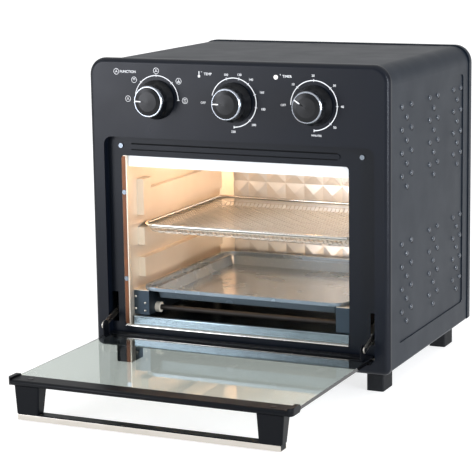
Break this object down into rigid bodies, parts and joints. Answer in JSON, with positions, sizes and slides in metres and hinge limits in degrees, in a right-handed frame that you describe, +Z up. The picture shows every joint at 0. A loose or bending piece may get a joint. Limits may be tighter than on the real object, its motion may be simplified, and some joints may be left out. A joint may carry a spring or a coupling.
{
  "type": "air fryer oven",
  "caption": "Counter-top air fryer oven with three control knobs, a drop-down glass door, a mesh basket, a baking tray and a crumb tray.",
  "frame": {"origin": "on the surface it stands on, under the middle of its footprint with the door open", "axes": "+Z up, +Y towards the back, +X to the right of someone facing the front"},
  "size_m": [0.37, 0.541, 0.369],
  "materials": {
    "black_plastic": "moulded satin black",
    "knob_plastic": "moulded black",
    "painted_steel": "satin charcoal paint",
    "black_plate": "semi-gloss black enamel",
    "liner_steel": "bright rolled liner",
    "white_baffle": "white enamel",
    "heating_rod": "dull sheath",
    "ceramic": "unglazed ceramic",
    "galvanised": "galvanised sheet",
    "motor_steel": "plated",
    "fan_aluminium": "pressed sheet",
    "grey_plastic": "moulded",
    "chrome_trim": "bright plated",
    "black_screw": "blackened steel",
    "steel_pin": "zinc plated",
    "lens": "clear moulded",
    "door_pane": "tempered, polished",
    "black_trim": "satin black",
    "sleeve_steel": "brushed stainless",
    "rack_chrome": "chromed wire",
    "mesh_steel": "woven stainless",
    "tray_enamel": "grey enamel",
    "crumb_sheet": "rolled sheet",
    "rubber_foot": "moulded"
  },
  "bodies": {
    "housing": {"front_frame": "black_plastic", "outer_shell": "painted_steel", "rear_cover": "painted_steel", "base_plate": "galvanised", "foot_front_left": "rubber_foot", "foot_front_right": "rubber_foot", "foot_rear_left": "rubber_foot", "foot_rear_right": "rubber_foot", "face_plate": "black_plate", "cavity_wall_left": "liner_steel", "cavity_wall_right": "liner_steel", "cavity_rear_wall": "liner_steel", "cavity_ceiling": "liner_steel", "cavity_floor": "liner_steel", "fan_baffle": "white_baffle", "upper_heaters": "heating_rod", "lower_heaters": "heating_rod", "heater_holders": "ceramic", "fan_motor": "motor_steel", "motor_bracket": "galvanised", "control_bracket": "galvanised", "function_switch": "grey_plastic", "thermostat": "motor_steel", "timer_mechanism": "grey_plastic", "timer_bell": "steel_pin", "indicator_lens": "lens", "hinge_pins": "steel_pin", "hinge_spring_left": "steel_pin", "hinge_spring_right": "steel_pin", "face_plate_screws": "steel_pin", "foot_screws": "steel_pin", "cord_gland": "rubber_foot", "rear_spacers": "black_trim"},
    "fan_rotor": {"motor_shaft": "steel_pin", "convection_fan": "fan_aluminium", "cooling_fan": "grey_plastic"},
    "function_control": {"function_shaft": "steel_pin", "function_knob": "knob_plastic", "function_knob_ring": "chrome_trim"},
    "temperature_control": {"temperature_shaft": "steel_pin", "temperature_knob": "knob_plastic", "temperature_knob_ring": "chrome_trim"},
    "timer_control": {"timer_shaft": "steel_pin", "timer_knob": "knob_plastic", "timer_knob_ring": "chrome_trim"},
    "door": {"door_glass": "door_pane", "door_top_trim": "black_trim", "door_trim_caps": "black_trim", "door_bottom_rail": "black_trim", "handle_bracket_left": "black_trim", "handle_bracket_right": "black_trim", "handle_screws": "black_screw", "handle_core": "black_trim", "handle_sleeve": "sleeve_steel"},
    "left_arm": {"hinge_arm_left": "steel_pin"},
    "right_arm": {"hinge_arm_right": "steel_pin"},
    "basket": {"basket_frame": "rack_chrome", "basket_mesh": "mesh_steel"},
    "tray": {"baking_tray": "tray_enamel"},
    "crumb": {"crumb_tray": "crumb_sheet"}
  },
  "joints": [
    {"name": "door_hinge", "type": "hinge", "parent": "housing", "child": "door", "pos_m": [0, -0.036, 0.0415], "axis": [1, 0, 0], "range_deg": [-90, 0]},
    {"name": "left_arm_pivot", "type": "hinge", "parent": "door", "child": "left_arm", "pos_m": [-0.1634, -0.0595, 0.0575], "axis": [1, 0, 0], "range_deg": [0, 123], "deforming": ["hinge_spring_left"]},
    {"name": "right_arm_pivot", "type": "hinge", "parent": "door", "child": "right_arm", "pos_m": [0.1634, -0.0595, 0.0575], "axis": [1, 0, 0], "range_deg": [0, 123], "deforming": ["hinge_spring_right"]},
    {"name": "function_turn", "type": "hinge", "parent": "housing", "child": "function_control", "pos_m": [-0.097, -0.0515, 0.3227], "axis": [0, 1, 0], "range_deg": [0, 180]},
    {"name": "temperature_turn", "type": "hinge", "parent": "housing", "child": "temperature_control", "pos_m": [0, -0.0515, 0.3227], "axis": [0, 1, 0], "range_deg": [0, 270]},
    {"name": "timer_turn", "type": "hinge", "parent": "housing", "child": "timer_control", "pos_m": [0.097, -0.0515, 0.3227], "axis": [0, 1, 0], "range_deg": [-30, 240]},
    {"name": "fan_spin", "type": "hinge", "parent": "housing", "child": "fan_rotor", "pos_m": [-0.003, 0.1008, 0.309], "axis": [0, 0, 1], "continuous": true},
    {"name": "basket_slide", "type": "slide", "parent": "housing", "child": "basket", "axis": [0, -1, 0], "range_m": [0, 0.2]},
    {"name": "tray_slide", "type": "slide", "parent": "housing", "child": "tray", "axis": [0, -1, 0], "range_m": [0, 0.2]},
    {"name": "crumb_slide", "type": "slide", "parent": "housing", "child": "crumb", "axis": [0, -1, 0], "range_m": [0, 0.22]}
  ],
  "couplings": [
    {"joint": "left_arm_pivot", "follows": "door_hinge", "ratio": -1.3667},
    {"joint": "right_arm_pivot", "follows": "door_hinge", "ratio": -1.3667}
  ]
}
